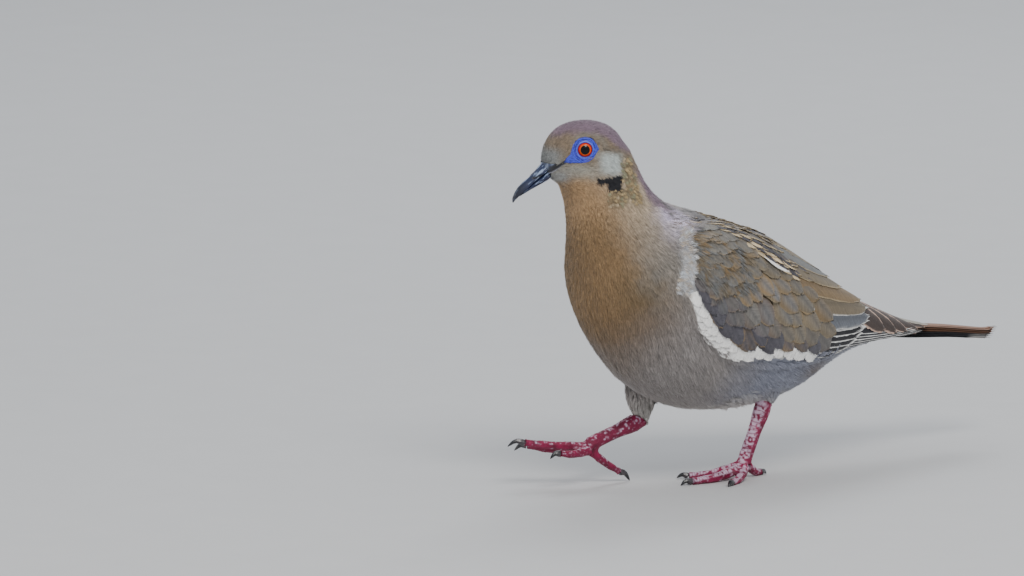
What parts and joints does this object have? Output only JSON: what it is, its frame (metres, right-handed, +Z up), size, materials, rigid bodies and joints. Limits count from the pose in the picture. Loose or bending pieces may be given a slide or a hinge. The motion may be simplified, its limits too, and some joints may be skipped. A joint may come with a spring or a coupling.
{
  "type": "white-winged dove",
  "caption": "Life-size still model of a walking dove with folded wings, one foot on the ground and the other swung forward.",
  "frame": {"origin": "centre of the bird's box in plan, on the ground it stands on", "axes": "+Z up; the bird faces -X, its left side is towards -Y, and its length runs along X"},
  "size_m": [0.255, 0.08, 0.1634],
  "materials": {
    "plumage_crown": "matte feathers, buff-grey with a mauve crown",
    "plumage_breast": "matte hair-like feathers, warm buff",
    "plumage_belly": "soft matte feathers, blue-grey",
    "plumage_wing": "matte covert feathers, olive brown over slate, with a white band",
    "plumage_flight": "stiff dark vanes with pale edges",
    "plumage_tail": "stiff rufous-brown vanes with grey-white tips",
    "bare_orbit": "bare wrinkled skin, cobalt blue",
    "eye": "wet, orange-red iris",
    "bill_horn": "satin horn, slate-black",
    "claw_horn": "satin horn, black",
    "leg_scales": "scaled skin, crimson with powdery edges"
  },
  "bodies": {
    "root": {"bill_lower": "bill_horn", "bill_upper": "bill_horn", "claw_hind_left": "claw_horn", "claw_hind_right": "claw_horn", "claw_inner_left": "claw_horn", "claw_inner_right": "claw_horn", "claw_middle_left": "claw_horn", "claw_middle_right": "claw_horn", "claw_outer_left": "claw_horn", "claw_outer_right": "claw_horn", "eye_left": "eye", "eye_right": "eye", "head": "plumage_crown", "lids_left": "bare_orbit", "lids_right": "bare_orbit", "neck": "plumage_breast", "primaries_left": "plumage_flight", "primaries_right": "plumage_flight", "rump": "plumage_belly", "shank_left": "plumage_belly", "shank_right": "plumage_belly", "tail": "plumage_tail", "tarsus_left": "leg_scales", "tarsus_right": "leg_scales", "toe_hind_left": "leg_scales", "toe_hind_right": "leg_scales", "toe_inner_left": "leg_scales", "toe_inner_right": "leg_scales", "toe_middle_left": "leg_scales", "toe_middle_right": "leg_scales", "toe_outer_left": "leg_scales", "toe_outer_right": "leg_scales", "trunk": "plumage_belly", "wing_left": "plumage_wing", "wing_right": "plumage_wing"}
  },
  "joints": []
}
